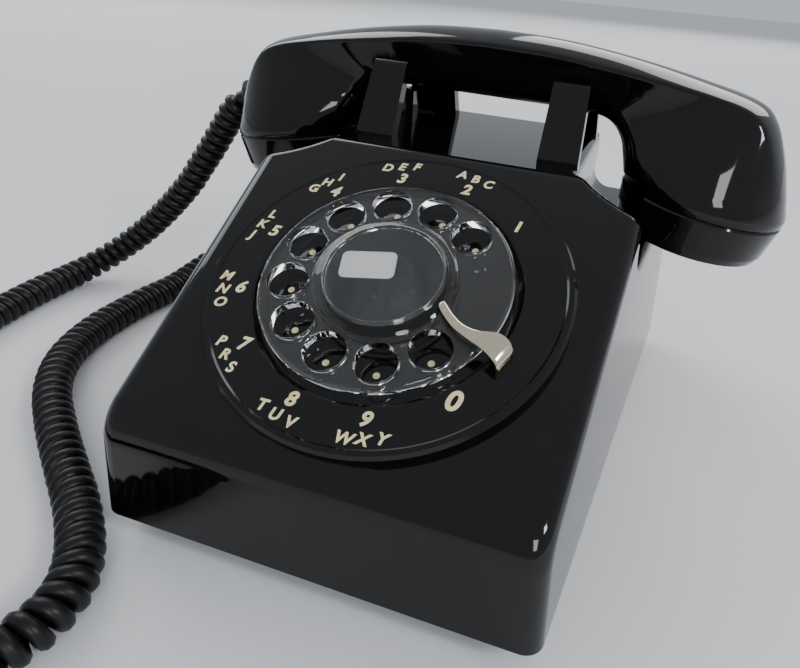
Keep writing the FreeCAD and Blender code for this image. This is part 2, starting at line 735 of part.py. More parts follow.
def governor_shaft():
    x, y = GOVERNOR_XY
    first = GOVERNOR_DEG + 180 + 180 / GOVERNOR_TEETH
    pinion = gear(GOVERNOR_TEETH, WHEEL2_Z - 2.2, WHEEL2_Z + 0.6, x, y, first, 0.5)
    shaft = cyl(SMALL_SHAFT_R, BACK_Z - 2.5, WELL_Z - 2.0, x, y)
    bar = box(x - 5.4, x + 5.4, y - 1.2, y + 1.2, GOV_Z, GOV_Z + 1.6)
    return in_dial(shaft.fuse([pinion, bar]).removeSplitter())


def governor_weights():
    """Two fly weights on the ends of the governor's bar."""
    x, y = GOVERNOR_XY
    out = []
    for side in (1, -1):
        wx = x + side * 4.8
        out.append(in_dial(cyl(1.7, GOV_Z + 1.6, GOV_Z + 4.4, wx, y)))
    return out


def governor_cup():
    """Drag cup on the back plate, round the fly weights."""
    x, y = GOVERNOR_XY
    return in_dial(ring(8.2, 7.2, BACK_Z, WHEEL2_Z - 2.6, x, y))


def at_stop(shape):
    """From a frame with X through the finger stop to the dial's own frame."""
    placed = shape.copy()
    placed.rotate(V(0, 0, 0), V(0, 0, 1), STOP_DEG)
    return placed


def stop_slot(outer):
    """What the stop's leg passes through."""
    low = WELL_Z - 1.6 - FRAME_T
    return at_stop(box(STOP_LEG_R - STOP_T - 0.1, outer, -STOP_HALF - 0.1, STOP_HALF + 0.1, low - 1, 1.0))


def finger_stop():
    """Hooked strip over the wheel, folded down through the number plate to a foot under the frame."""
    low = WELL_Z - 1.6 - FRAME_T
    top = WHEEL_TOP + 0.9
    hook = prism(STOP_HOOK, top, top + STOP_T)
    leg = box(STOP_LEG_R - STOP_T, STOP_LEG_R, -STOP_HALF, STOP_HALF, low - STOP_T, top + STOP_T)
    foot = box(STOP_FOOT_R, STOP_LEG_R, -STOP_HALF, STOP_HALF, low - STOP_T, low)
    bent = leg.fuse(foot).cut(cyl(1.1, low - 2, low + 1, STOP_SCREW_R, 0.0))
    return in_dial(hook.fuse(at_stop(bent)).removeSplitter())


def finger_stop_screw():
    low = WELL_Z - 1.6 - FRAME_T - STOP_T
    head = cyl(1.8, low - 0.9, low, STOP_SCREW_R, 0.0)
    return in_dial(at_stop(head.fuse(cyl(1.0, low - 0.4, low + STOP_T + 1.8, STOP_SCREW_R, 0.0))))


def dial_bracket():
    """Two posts from the base plate to lugs behind the dial."""
    out = []
    for side in (1, -1):
        x = side * BRACKET_X
        out.append(box(x - 1.0, x + 1.0, BRACKET_Y - 7, BRACKET_Y + 7, BASE_Z + BASE_T, BRACKET_TOP))
    return out


# ---------------------------------------------------------------- ringer and network

def ringer_frame():
    """Steel frame with the posts of both gongs."""
    z0 = BASE_Z + BASE_T
    frame = box(-RING_X - 6, RING_X + 6, RING_Y + 22, RING_Y + 34, z0, z0 + 2)
    for side in (1, -1):
        arm = box(side * RING_X - 5, side * RING_X + 5, RING_Y - 4, RING_Y + 24, z0, z0 + 2)
        frame = frame.fuse(arm).fuse(cyl(3.0, z0, GONG_Z - 3, side * RING_X, RING_Y))
    yoke = box(-3, 3, RING_Y + 22, RING_Y + 26, z0, z0 + 7.5)
    return frame.fuse(yoke).removeSplitter().cut(cyl(1.5 + RUN_FIT, 0, 60, 0, RING_Y + 24))


def gong(side):
    """Domed bell, open below."""
    r = GONG_R[0] if side > 0 else GONG_R[1]
    outline = [(3.0, GONG_Z), (r - 5, GONG_Z), (r - 1.2, GONG_Z - 3.5)]
    outline += [(r, GONG_Z - 11), (r - 1.4, GONG_Z - 11)]
    outline += [(r - 2.6, GONG_Z - 4.2), (r - 5.6, GONG_Z - 1.5), (3.0, GONG_Z - 1.5)]
    bell = turned(outline)
    bell.translate(V(side * RING_X, RING_Y, 0))
    return bell


def gong_screws():
    out = []
    for side in (1, -1):
        x = side * RING_X
        out.append(cyl(4.4, GONG_Z, GONG_Z + 2, x, RING_Y).fuse(cyl(2.4, GONG_Z - 3, GONG_Z + 1, x, RING_Y)))
    return out


def ringer_coil():
    y = RING_Y + 31
    core = rod((-18, y, RING_COIL_Z), (18, y, RING_COIL_Z), 2.6)
    winding = rod((-13, y, RING_COIL_Z), (13, y, RING_COIL_Z), 5.0)
    return core.fuse(winding).removeSplitter()


def clapper():
    """Armature on its pin, with an arm and a round hammer between the gongs."""
    y = RING_Y + 24
    z = GONG_Z - 8
    pin = cyl(1.5, BASE_Z + BASE_T + 2.2, z + 2, 0, y)
    arm = box(-0.8, 0.8, RING_Y - 2, y, z - 0.8, z + 0.8)
    ball = Part.makeSphere(3.0, V(0, RING_Y - 2, z))
    return pin.fuse([arm, ball]).removeSplitter()


def loudness_wheel():
    """Thumb wheel through the slot in the tray that turns one gong's stop."""
    wheel = rod((LOUD_X, LOUD_Y - 1.5, LOUD_Z), (LOUD_X, LOUD_Y + 1.5, LOUD_Z), LOUD_R)
    for k in range(24):
        a = rad(15 * k)
        x = LOUD_X + LOUD_R * math.cos(a)
        z = LOUD_Z + LOUD_R * math.sin(a)
        wheel = wheel.cut(rod((x, LOUD_Y - 3, z), (x, LOUD_Y + 3, z), 0.6))
    return wheel.cut(rod((LOUD_X, LOUD_Y - 5, LOUD_Z), (LOUD_X, LOUD_Y + 5, LOUD_Z), LOUD_PIN_R + RUN_FIT))


def loudness_bracket():
    """Clip on the tray with the thumb wheel's pin."""
    z0 = BASE_Z + BASE_T
    pin = rod((LOUD_X, LOUD_Y - 5.5, LOUD_Z), (LOUD_X, LOUD_Y + 5.5, LOUD_Z), LOUD_PIN_R)
    cheeks = []
    for side in (1, -1):
        y = LOUD_Y + side * 4.75
        cheeks.append(box(LOUD_X - 4, LOUD_X + 4, y - 0.75, y + 0.75, z0, LOUD_Z + 4))
    return pin.fuse(cheeks).removeSplitter()


def network_block():
    """Potted can with a terminal board on top."""
    z0 = BASE_Z + BASE_T
    can = box(NET_X0, NET_X0 + NET_L, NET_Y0, NET_Y0 + NET_W, z0, z0 + NET_H)
    can = can.makeFillet(2.5, [e for e in can.Edges if e.BoundBox.ZLength > NET_H - 1])
    return can


def terminal_board():
    z0 = BASE_Z + BASE_T + NET_H
    board = box(NET_X0 + 1, NET_X0 + NET_L - 1, NET_Y0 + 1, NET_Y0 + NET_W - 1, z0, z0 + 2)
    for x, y in terminal_xy():
        board = board.cut(cyl(1.25, z0 - 1, z0 + 4, x, y))
    return board


def terminal_xy():
    spots = []
    for i in range(5):
        for j in (0, 1):
            spots.append((NET_X0 + 7 + i * 9.5, NET_Y0 + 7 + j * (NET_W - 14)))
    return spots


def terminal_screws():
    z = BASE_Z + BASE_T + NET_H + 2
    return [cyl(2.6, z, z + 1.4, x, y).fuse(cyl(1.2, z - 1.8, z + 0.5, x, y)) for x, y in terminal_xy()]


# ---------------------------------------------------------------- handset

def hand_section(inner, outer, ridge, low, roundness):
    """Closed curve across the handle or the cup, between its inner and outer points in the XZ plane.

    roundness 0 is the handle's section with two ridges under a low crown; 1 is the cup's ellipse."""
    a = V(inner[0], HAND_Y, inner[1])
    b = V(outer[0], HAND_Y, outer[1])
    length = b.sub(a).Length
    up = b.sub(a).normalize()
    crown = CROWN_H * (1 - roundness)
    count = 28
    points = []
    for i in range(count):
        theta = 2 * math.pi * i / count
        v = length / 2 * (1 - math.cos(theta))
        oval = CUP_R * abs(math.sin(theta))
        flat = ridge if v > length - CROWN_H else low + (ridge - low) * v / (length - CROWN_H)
        if v < BOTTOM_R:
            flat *= math.sqrt(max(0.0, 1 - ((BOTTOM_R - v) / BOTTOM_R) ** 2))
        if v > length - CROWN_H:
            flat = ridge * math.sqrt(max(0.0, (length - v) / CROWN_H))
        half = roundness * oval + (1 - roundness) * flat
        side = 1 if theta <= math.pi else -1
        points.append(a + up * v + V(0, side * half, 0))
    curve = Part.BSplineCurve()
    curve.interpolate(points, PeriodicFlag=True)
    return Part.Wire(curve.toShape())


def cup_frame():
    """Seam centre, direction out of the cap and the outward direction in the seam plane."""
    t = rad(CUP_TILT_DEG)
    return V(CUP_X, HAND_Y, CUP_Z), V(-math.sin(t), 0, -math.cos(t)), V(math.cos(t), 0, -math.sin(t))


def half_handle():
    centre, down, out = cup_frame()
    seam_in = centre - out * CUP_R
    seam_out = centre + out * CUP_R
    stations = [((x, HANDLE_BOTTOM_Z), (x, crown_z(x)), HANDLE_W, HANDLE_LOW, 0.0) for x in (0.0, 20.0, 36.0)]
    stations.append(((45.5, 119.5), (58.0, crown_z(58.0)), HANDLE_W, HANDLE_LOW, 0.0))
    stations.append(((51.0, 117.0), (80.0, crown_z(80.0)), HANDLE_W, HANDLE_LOW + 2, 0.05))
    stations.append(((54.6, 112.6), (99.0, crown_z(99.0) - 0.3), HANDLE_W, HANDLE_LOW + 4, 0.15))
    stations.append(((56.4, 107.6), (109.0, 122.5), HANDLE_W + 1, HANDLE_LOW + 8, 0.45))
    stations.append(((57.6, 103.0), (115.0, 109.5), HANDLE_W + 2, HANDLE_LOW + 10, 0.78))
    stations.append(((seam_in.x, seam_in.z), (seam_out.x, seam_out.z), HANDLE_W, HANDLE_LOW, 1.0))
    sections = [hand_section(*s) for s in stations]
    arch = Part.makeLoft(sections[:-1], True, True)
    return arch.fuse(Part.makeLoft(sections[-2:], True, True))


def crown_z(x):
    return CROWN_Z - x * x / (2 * ARCH_R)


def on_cradle(shape):
    """From the handset's own square position to the way it lies on the cradle."""
    placed = shape.copy()
    placed.rotate(V(0, HAND_Y, 0), V(0, 0, 1), HAND_YAW_DEG)
    placed.translate(V(HAND_DX, 0, 0))
    return placed


def in_cup(shape, side):
    """From a cap's own frame (seam at z = 0, face towards -Z) to its end of the square handset."""
    placed = shape.copy()
    placed.rotate(V(0, 0, 0), V(0, 1, 0), CUP_TILT_DEG)
    placed.translate(V(CUP_X, HAND_Y, CUP_Z))
    return placed if side > 0 else placed.mirror(V(0, 0, 0), V(1, 0, 0))


def at_cup(shape, side):
    return on_cradle(in_cup(shape, side))


def handle_shell():
    """Moulded handle with a hollow cup at each end and a gland socket at one end."""
    half = half_handle()
    shell = half.fuse(half.mirror(V(0, 0, 0), V(1, 0, 0))).removeSplitter()
    for side in (1, -1):
        shell = shell.cut(in_cup(cyl(CUP_R - 5.0, -1.0, 11.0), side))
        shell = shell.cut(in_cup(cyl(CUP_R - 3.0, -1.0, 2.0), side))
    duct = rod((-72, HAND_Y, 106.0), (-50, HAND_Y, 128.0), 2.5)
    duct = duct.fuse(rod((-50, HAND_Y, 128.0), (50, HAND_Y, 128.0), 2.5))
    duct = duct.fuse(rod((50, HAND_Y, 128.0), (72, HAND_Y, 106.0), 2.5))
    shell = shell.cut(duct.removeSplitter())
    socket = gland(HAND_GLAND_IN, HAND_GLAND_OUT, GLAND_NECK_R, GLAND_COLLAR_R)
    return on_cradle(shell.cut(socket))


def cap(side, holes):
    """Screw-on cap with a ring of sound holes."""
    outline = [
        (0, -CAP_H),
        (CAP_R_LOW - 4.0, -CAP_H),
        (CAP_R_LOW - 1.4, -CAP_H + 1.0),
        (CAP_R_LOW, -CAP_H + 3.8),
        (CUP_R, -0.9),
        (CUP_R - 0.7, 0.0),
        (CUP_R - 3.0 - RUN_FIT, 0.0),
        (CUP_R - 3.0 - RUN_FIT, 1.9),
        (CUP_R - 5.4, 1.9),
        (CUP_R - 5.4, -CAP_H + 3.0),
        (0, -CAP_H + 3.0),
    ]
    body = turned(outline)
    for r, count in holes:
        for k in range(count):
            x, y = polar(r, 360.0 * k / count)
            body = body.cut(cyl(1.0, -CAP_H - 1, -CAP_H + 4, x, y))
    return at_cup(body, side)


def capsule(side, r, h, step):
    """Sealed transmitter or receiver unit inside the cap."""
    body = cyl(r, -CAP_H + 3.2, -CAP_H + 3.2 + h).fuse(cyl(r - step, -CAP_H + 3.0 + h, -CAP_H + 6.0 + h))
    return at_cup(body.removeSplitter(), side)


def transmitter_cup():
    """Moulded cup with the transmitter's two spring contacts."""
    body = ring(CUP_R - 6.0, CUP_R - 12.0, 0.5, 6.0)
    return at_cup(body, -1)


def gland(start, end, neck_r, collar_r):
    """Strain relief: a neck in the wall and a collar outside that tapers towards the cord."""
    a = V(*start)
    b = V(*end)
    axis = b.sub(a)
    neck = Part.makeCylinder(neck_r, axis.Length - GLAND_COLLAR_L, a, axis)
    foot = b - axis.normalize() * GLAND_COLLAR_L
    collar = Part.makeCone(collar_r + 0.8, collar_r - 1.2, GLAND_COLLAR_L, foot, b.sub(foot))
    return neck.fuse(collar).removeSplitter()


# ---------------------------------------------------------------- cord

def cord_tube():
    """The curly cord's outer form: straight runs joined by the largest arcs the runs allow."""
    points = [V(*p) for p in CORD_ROUTE] + [V(*BASE_EXIT)]
    edges = []
    last = points[0]
    radii = []
    for i in range(1, len(points) - 1):
        p = points[i]
        a = points[i - 1].sub(p)
        b = points[i + 1].sub(p)
        run = min(a.Length, b.Length)
        a.normalize()
        b.normalize()
        turn = math.pi - a.getAngle(b)
        cut = 0.45 * run
        radius = cut / math.tan(turn / 2)
        bisector = (a + b).normalize()
        mid = p + bisector * (radius / math.cos(turn / 2) - radius)
        edges.append(Part.LineSegment(last, p + a * cut).toShape())
        edges.append(Part.Arc(p + a * cut, mid, p + b * cut).toShape())
        last = p + b * cut
        radii.append(radius)
    edges.append(Part.LineSegment(last, points[-1]).toShape())
    path = Part.Wire(edges)
    start = Part.Wire(Part.makeCircle(CORD_R, points[0], points[1].sub(points[0])))
    tube = path.makePipeShell([start], True, True)
    print(f"cord: length {path.Length:.1f}, tightest arc {min(radii):.1f}")
    return tube


def line_grommet():
    """Rubber grommet in the rear wall for the line cord."""
    y = DEPTH_HALF - 1.0
    flange = rod((INLET_X, y - 0.2, INLET_Z), (INLET_X, y + 1.0, INLET_Z), INLET_R + 2.0)
    neck = rod((INLET_X, y - 5.0, INLET_Z), (INLET_X, y, INLET_Z), INLET_R - 0.05)
    bore = rod((INLET_X, y - 8, INLET_Z), (INLET_X, y + 4, INLET_Z), 2.6)
    return flange.fuse(neck).removeSplitter().cut(bore)


def main():
    os.makedirs(PARTS, exist_ok=True)
    shell = housing_shell()
    save("housing_shell", shell)
    save("base_plate", base_plate())
    save("feet", *feet())
    save("housing_screws", *housing_screws())
    save("screw_bosses", *screw_bosses())
    save("line_inlet_grommet", line_grommet().cut(shell))
    base_gland = gland(BASE_GLAND_IN, BASE_EXIT, GLAND_NECK_R, GLAND_COLLAR_R).cut(shell)
    save("base_cord_gland", base_gland)
    for name, (x, y) in zip(("plunger_right", "plunger_left"), plunger_xy()):
        save(name, plunger(x, y))
    save("hook_lever", hook_lever())
    save("hook_bracket", hook_bracket())
    save("hook_pin", hook_pin())
    save("hook_contacts", *hook_contacts())
    save("number_plate", number_plate())
    save("dial_frame", dial_frame())
    save("dial_bracket", *dial_bracket())
    save("finger_wheel", finger_wheel())
    save("number_card", number_card())
    save("card_retainer", card_retainer())
    save("dial_hub", dial_hub())
    save("main_gear", main_gear())
    save("drive_spring", drive_spring())
    save("pulse_shaft", pulse_shaft())
    save("pulse_wheel", pulse_wheel())
    save("pulse_cam", pulse_cam())
    save("pulse_contacts", pulse_contacts())
    save("governor_shaft", governor_shaft())
    save("governor_weights", *governor_weights())
    save("governor_cup", governor_cup())
    save("finger_stop", finger_stop())
    save("finger_stop_screw", finger_stop_screw())
    save("ringer_frame", ringer_frame())
    save("ringer_coil", ringer_coil())
    save("gong_right", gong(1))
    save("gong_left", gong(-1))
    save("gong_screws", *gong_screws())
    save("clapper", clapper())
    save("loudness_wheel", loudness_wheel())
    save("loudness_bracket", loudness_bracket())
    save("network_block", network_block())
    save("terminal_board", terminal_board())
    save("terminal_screws", *terminal_screws())
    handle = handle_shell()
    save("handle_shell", handle)
    save("receiver_cap", cap(1, ((4.0, 4), (9.0, 8))))
    save("transmitter_cap", cap(-1, ((4.0, 6), (8.5, 12), (13.0, 18))))
    save("receiver_unit", capsule(1, 22.0, 9.0, 6.0))
    save("transmitter_unit", capsule(-1, 23.0, 7.0, 5.0))
    save("transmitter_cup", transmitter_cup())
    hand_gland = on_cradle(gland(HAND_GLAND_IN, HAND_GLAND_OUT, GLAND_NECK_R, GLAND_COLLAR_R))
    save("handset_cord_gland", hand_gland)
    beside_cup = at_cup(cyl(CUP_R + 1.0, -CAP_H, 12.0), -1)
    save("handset_cord", cord_tube().cut([handle, beside_cup, hand_gland, base_gland]))


main()
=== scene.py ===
import json
import math

import bmesh
import bpy
from mathutils import Matrix, Vector


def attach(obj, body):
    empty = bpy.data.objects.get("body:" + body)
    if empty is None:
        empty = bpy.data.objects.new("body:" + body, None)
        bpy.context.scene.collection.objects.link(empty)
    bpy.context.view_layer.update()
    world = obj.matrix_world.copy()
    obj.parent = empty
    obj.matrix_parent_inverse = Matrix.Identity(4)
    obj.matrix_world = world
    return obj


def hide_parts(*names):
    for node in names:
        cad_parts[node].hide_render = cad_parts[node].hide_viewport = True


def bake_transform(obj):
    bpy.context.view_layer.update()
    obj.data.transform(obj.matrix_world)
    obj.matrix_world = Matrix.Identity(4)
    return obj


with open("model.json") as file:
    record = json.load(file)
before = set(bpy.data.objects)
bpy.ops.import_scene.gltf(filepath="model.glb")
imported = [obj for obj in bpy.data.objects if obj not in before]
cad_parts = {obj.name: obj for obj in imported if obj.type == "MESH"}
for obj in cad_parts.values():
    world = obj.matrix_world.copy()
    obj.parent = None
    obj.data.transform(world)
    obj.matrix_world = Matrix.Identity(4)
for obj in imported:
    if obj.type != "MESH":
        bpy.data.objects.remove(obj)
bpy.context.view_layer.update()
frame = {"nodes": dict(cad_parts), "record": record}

NODES = frame["nodes"]

MM = 0.001

# Dial, metres and degrees: the middle of the plate's face, its slope, and what is printed on it
DIAL_CENTRE = Vector((0.0, -0.0532, 0.0788))
DIAL_SLOPE = math.radians(28.5)
WELL_DEPTH = 0.003
INK_HEIGHT = 0.00006
INK_SLANT = 0.16
INK_BOLD = 0.035                                  # share of a character's size
DIGIT_R = 0.0455
DIGIT_SIZE = 0.0062
ZERO_AT = 314.0
ZERO_SIZE = 0.0084
LETTER_R = 0.0513
LETTER_SIZE = 0.0048
LETTER_STEP = 5.7
DOTS = 10
DOT_R = 0.0305                                    # from the middle of the dial
DOT_SIZE = 0.00105
DOT_FIRST = 45.0
DOT_STEP = 30.0
CARD_HEIGHT = 0.0046
WINDOW = (-0.0138, 0.0032, -0.0022, 0.0080)       # left, right, lower and upper edge
WINDOW_CORNER_R = 0.0020
WINDOW_TURN = math.radians(12.0)
WINDOW_HEIGHT = 0.00008
WHEEL_WELD = 0.000004
WHEEL_EDGE = 0.00035

# Cord, metres: the given line of the cord, its wire and its turns
ROUTE = [
    (-0.1210, 0.0616, 0.1040), (-0.1284, 0.0619, 0.0989), (-0.1364, 0.0620, 0.0883),
    (-0.1454, 0.0618, 0.0756), (-0.1527, 0.0610, 0.0660), (-0.1595, 0.0600, 0.0561),
    (-0.1737, 0.0575, 0.0405), (-0.1869, 0.0535, 0.0272), (-0.1975, 0.0460, 0.0176),
    (-0.2055, 0.0370, 0.0110), (-0.2106, 0.0240, 0.0072), (-0.2108, 0.0032, 0.0072),
    (-0.2084, -0.0213, 0.0072), (-0.2048, -0.0397, 0.0072), (-0.2040, -0.0680, 0.0072),
    (-0.1990, -0.0980, 0.0072), (-0.1860, -0.1280, 0.0072), (-0.1650, -0.1540, 0.0072),
    (-0.1360, -0.1730, 0.0072), (-0.1050, -0.1810, 0.0072), (-0.0790, -0.1770, 0.0072),
    (-0.0620, -0.1620, 0.0072), (-0.0542, -0.1430, 0.0072), (-0.0600, -0.1265, 0.0072),
    (-0.0780, -0.1096, 0.0072), (-0.0955, -0.0970, 0.0072), (-0.1092, -0.0869, 0.0072),
    (-0.1222, -0.0766, 0.0072), (-0.1340, -0.0665, 0.0072), (-0.1445, -0.0540, 0.0072),
    (-0.1525, -0.0395, 0.0072), (-0.1573, -0.0220, 0.0072), (-0.1586, -0.0040, 0.0072),
    (-0.1580, 0.0144, 0.0072), (-0.1556, 0.0310, 0.0072), (-0.1552, 0.0469, 0.0086),
    (-0.1525, 0.0605, 0.0122), (-0.1450, 0.0725, 0.0152), (-0.1320, 0.0790, 0.0162),
    (-0.1170, 0.0790, 0.0160), (-0.1040, 0.0755, 0.0160), (-0.0926, 0.0740, 0.0160),
]
WIRE_R = 0.00246
TURN_R = 0.0045
TURNS = 148
TURN_STEPS = 18
WIRE_SIDES = 9
CLOSING_TURNS = 1.5                               # over which each end of the coil closes
CLOSED_SHARE = 0.12                               # of TURN_R, at the very end

# Room: floor, sky and windows in metres and watts, and the camera
FLOOR_HALF = 25.0
SKY = (0.86, 0.90, 0.96, 1.0)
SKY_STRENGTH = 0.62
DAYLIGHT = (0.95, 0.98, 1.0)
WINDOWS = [  # name, place, what it faces, width and height, watts, tone
    ("window_left", (-2.4, 1.6, 2.2), (0, 0, 0.05), (2.4, 1.8), 48.0, DAYLIGHT),
    ("window_right", (0.75, -0.35, 0.62), (0, 0, 0.05), (0.15, 0.24), 4.0, (0.92, 0.96, 1.0)),
    ("window_front", (0.95, -2.05, 1.05), (0, 0, 0.1), (0.5, 0.85), 16.0, DAYLIGHT),
    ("window_back", (0.9, 4.2, 3.0), (0, 0, 0.05), (4.0, 2.4), 110.0, (1.0, 1.0, 1.0)),
]
EYE = (0.06407, -0.21291, 0.15843)
EYE_TURN = (1.04737, -0.08125, 0.31919)           # radians
SENSOR = 36.0                                     # millimetres, as the lens
LENS = 27.9
LENS_SHIFT = (-0.0537, 0.0105)
NEAR_CLIP = 0.01


# ---------------------------------------------------------------- node materials

class Look:
    """A node material whose patterns lie on the object's own coordinates."""

    def __init__(self, name):
        self.material = bpy.data.materials.new(name)
        self.material.use_nodes = True
        self.tree = self.material.node_tree
        self.shader = self.tree.nodes["Principled BSDF"]
        self.place = self.tree.nodes.new("ShaderNodeTexCoord").outputs["Object"]

    def set(self, **sockets):
        for name, value in sockets.items():
            self.shader.inputs[name.replace("_", " ")].default_value = value
        return self

    def stretched(self, scale):
        mapping = self.tree.nodes.new("ShaderNodeMapping")
        mapping.inputs["Scale"].default_value = scale
        self.tree.links.new(self.place, mapping.inputs["Vector"])
        return mapping.outputs["Vector"]

    def noise(self, scale, detail=3.0, place=None):
        node = self.tree.nodes.new("ShaderNodeTexNoise")
        node.inputs["Scale"].default_value = scale
        node.inputs["Detail"].default_value = detail
        self.tree.links.new(place or self.place, node.inputs["Vector"])
        return node.outputs["Fac"]

    def cells(self, scale):
        node = self.tree.nodes.new("ShaderNodeTexVoronoi")
        node.inputs["Scale"].default_value = scale
        self.tree.links.new(self.place, node.inputs["Vector"])
        return node.outputs["Distance"]

    def ramp(self, source, stops, socket=None):
        node = self.tree.nodes.new("ShaderNodeValToRGB")
        elements = node.color_ramp.elements
        while len(elements) < len(stops):
            elements.new(0.5)
        for element, (at, value) in zip(elements, stops):
            element.position = at
            element.color = (*value, 1.0) if hasattr(value, "__len__") else (value, value, value, 1.0)
        self.tree.links.new(source, node.inputs["Fac"])
        if socket:
            self.tree.links.new(node.outputs["Color"], self.shader.inputs[socket])
        return node.outputs["Color"]

    def over(self, below, above, mask, socket):
        node = self.tree.nodes.new("ShaderNodeMix")
        node.data_type = "RGBA"
        self.tree.links.new(mask, node.inputs["Factor"])
        self.tree.links.new(below, node.inputs["A"])
        self.tree.links.new(above, node.inputs["B"])
        self.tree.links.new(node.outputs["Result"], self.shader.inputs[socket])
        return self

    def bump(self, height, strength, distance):
        node = self.tree.nodes.new("ShaderNodeBump")
        node.inputs["Strength"].default_value = strength
        node.inputs["Distance"].default_value = distance
        self.tree.links.new(height, node.inputs["Height"])
        last = self.shader.inputs["Normal"].links
        if last:
            self.tree.links.new(last[0].from_socket, node.inputs["Normal"])
        self.tree.links.new(node.outputs["Normal"], self.shader.inputs["Normal"])
        return self


def gloss_plastic(name, deep, worn, rough):
    """Polished black plastic: faint mottling, a little dust and a gloss that is not quite even."""
    look = Look(name)
    base = look.ramp(look.noise(30.0, 4.0), [(0.35, deep), (0.7, worn)])
    dust = look.ramp(look.cells(520.0), [(0.012, (0.07, 0.07, 0.066)), (0.035, worn)])
    mask = look.ramp(look.noise(48.0, 2.0), [(0.62, 0.0), (0.70, 1.0)])
    look.over(base, dust, mask, "Base Color")
    grain = look.noise(420.0, 5.0, look.stretched((1.0, 1.0, 0.4)))
    look.ramp(grain, [(0.4, rough), (0.8, rough * 1.45)], "Roughness")
    look.bump(look.noise(900.0, 2.0), 0.012, 0.0001)
    look.bump(look.noise(30.0, 1.0), 0.035, 0.0006)
    look.set(IOR=1.40)
    return look.material


def metal(name, dark, light, rough, grain):
    look = Look(name)
    streaks = look.noise(90.0, 4.0, look.stretched(grain))
    look.ramp(streaks, [(0.3, dark), (0.7, light)], "Base Color")
    look.ramp(streaks, [(0.3, rough), (0.75, rough * 1.7)], "Roughness")
    look.bump(streaks, 0.05, 0.0002)
    look.set(Metallic=1.0)
    return look.material


def clear_plastic():
    look = Look("clear_acrylic")
    look.ramp(look.noise(40.0), [(0.3, (0.985, 0.99, 0.985)), (0.7, (0.97, 0.975, 0.965))], "Base Color")
    scuffs = look.noise(160.0, 5.0, look.stretched((1.0, 6.0, 1.0)))
    look.ramp(scuffs, [(0.5, 0.0), (0.8, 0.02)], "Roughness")
    look.bump(look.noise(45.0, 1.0), 0.01, 0.0004)
    look.set(Transmission_Weight=1.0, IOR=1.44, Specular_IOR_Level=0.4)
    return look.material


def rubber(name, tone):
    look = Look(name)
    look.ramp(look.noise(60.0), [(0.3, tone), (0.7, tuple(2.0 * c for c in tone))], "Base Color")
    look.ramp(look.noise(120.0), [(0.3, 0.5), (0.7, 0.68)], "Roughness")
    look.bump(look.noise(700.0), 0.12, 0.0003)
    return look.material


def jacket():
    """Vinyl jacket of the curly cord."""
    look = Look("cord_vinyl")
    tones = [(0.3, (0.0040, 0.0040, 0.0043)), (0.72, (0.0085, 0.0085, 0.0088))]
    look.ramp(look.noise(45.0, 4.0), tones, "Base Color")
    look.ramp(look.noise(150.0, 4.0), [(0.3, 0.34), (0.75, 0.48)], "Roughness")
    look.set(Specular_IOR_Level=0.26)
    look.bump(look.noise(600.0), 0.08, 0.0002)
    return look.material


def card():
    look = Look("dial_card")
    tones = [(0.3, (0.045, 0.046, 0.048)), (0.7, (0.062, 0.063, 0.065))]
    look.ramp(look.noise(900.0, 5.0), tones, "Base Color")
    look.ramp(look.noise(300.0), [(0.3, 0.45), (0.7, 0.6)], "Roughness")
    look.bump(look.noise(1500.0), 0.1, 0.0001)
    return look.material


def ink(name, thin, full):
    look = Look(name)
    look.ramp(look.noise(520.0, 4.0), [(0.3, thin), (0.6, full)], "Base Color")
    look.ramp(look.noise(300.0), [(0.3, 0.38), (0.7, 0.52)], "Roughness")
    look.bump(look.noise(1400.0), 0.08, 0.0001)
    return look.material


def moulded_brown():
    look = Look("phenolic")
    look.ramp(look.noise(220.0, 5.0), [(0.3, (0.05, 0.028, 0.016)), (0.7, (0.12, 0.07, 0.04))], "Base Color")
    look.ramp(look.noise(150.0), [(0.3, 0.35), (0.7, 0.5)], "Roughness")
    look.bump(look.noise(500.0), 0.08, 0.0002)
    return look.material


MOULDED_BLACK = (0.0020, 0.0020, 0.0021)
MOULDED_WORN = (0.0034, 0.0033, 0.0032)
MATERIALS = {
    "housing": gloss_plastic("black_housing", MOULDED_BLACK, MOULDED_WORN, 0.055),
    "handset_black": gloss_plastic("black_handset", MOULDED_BLACK, MOULDED_WORN, 0.05),
    "plate_black": gloss_plastic("black_plate", (0.0018, 0.0018, 0.0019), (0.0030, 0.0030, 0.0030), 0.07),
    "clear_plastic": clear_plastic(),
    "card": card(),
    "stop_metal": metal("plated_stop", (0.70, 0.61, 0.45), (0.77, 0.69, 0.53), 0.11, (9.0, 9.0, 9.0)),
    "rubber_black": rubber("black_rubber", (0.010, 0.010, 0.0105)),
    "cord_black": jacket(),
    "zinc_steel": metal("zinc_plate", (0.42, 0.42, 0.40), (0.62, 0.62, 0.60), 0.3, (2.0, 30.0, 2.0)),
    "cast_zinc": metal("die_cast", (0.36, 0.37, 0.38), (0.52, 0.53, 0.54), 0.42, (1.0, 1.0, 1.0)),
    "spring_steel": metal("spring_strip", (0.16, 0.17, 0.20), (0.30, 0.31, 0.34), 0.25, (1.0, 1.0, 30.0)),
    "brass": metal("brass", (0.50, 0.36, 0.13), (0.72, 0.55, 0.25), 0.24, (20.0, 20.0, 1.0)),
    "contact_alloy": metal("contact_leaf", (0.50, 0.46, 0.36), (0.68, 0.64, 0.52), 0.28, (1.0, 20.0, 1.0)),
    "phenolic": moulded_brown(),
}
CREAM = ink("cream_ink", (0.62, 0.52, 0.27), (0.82, 0.71, 0.42))
WHITE = ink("white_print", (0.86, 0.86, 0.86), (0.93, 0.93, 0.93))


def paint_nodes():
    slots = {s["node"]: s["material_slot"] for s in frame["record"]["subparts"]}
    for name, node in NODES.items():
        node.data.materials.clear()
        node.data.materials.append(MATERIALS[slots[name]])


